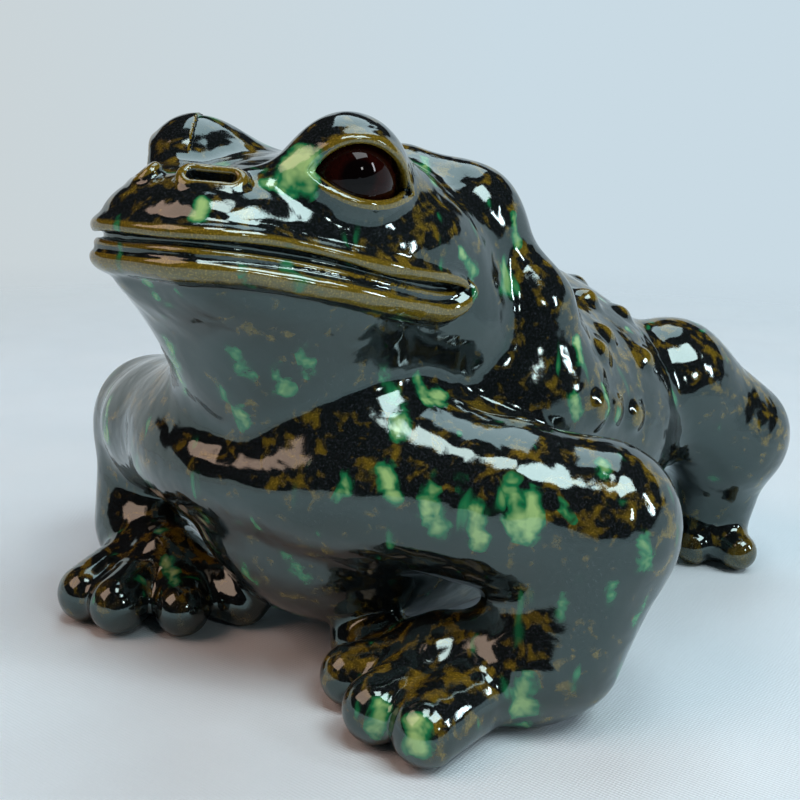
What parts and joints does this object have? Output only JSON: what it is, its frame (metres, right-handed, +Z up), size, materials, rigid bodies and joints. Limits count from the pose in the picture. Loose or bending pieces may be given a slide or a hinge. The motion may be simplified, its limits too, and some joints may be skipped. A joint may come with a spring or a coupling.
{
  "type": "frog figurine",
  "caption": "Crouching pottery frog with a dark flowing glaze and glass eyes, a hollow ornament that stands on its flat belly.",
  "frame": {"origin": "on the floor plane, on the flat of the belly, under the breast", "axes": "+Z up, the frog looks along -Y, and its left side is +X"},
  "size_m": [0.143, 0.1612, 0.1038],
  "materials": {
    "dark_glaze": "glossy black-green glaze that breaks to amber on edges, with green runs",
    "amber_glaze": "glossy amber glaze, thin over rolled clay",
    "eye_glass": "polished dark red-brown glass"
  },
  "bodies": {
    "root": {"torso_shell": "dark_glaze", "head_shell": "dark_glaze", "front_leg_left": "dark_glaze", "front_leg_right": "dark_glaze", "hind_leg_left": "dark_glaze", "hind_leg_right": "dark_glaze", "eyelid_left": "amber_glaze", "eyelid_right": "amber_glaze", "lower_lip_roll": "amber_glaze", "back_warts": "amber_glaze", "eye_left": "eye_glass", "eye_right": "eye_glass"}
  },
  "joints": []
}
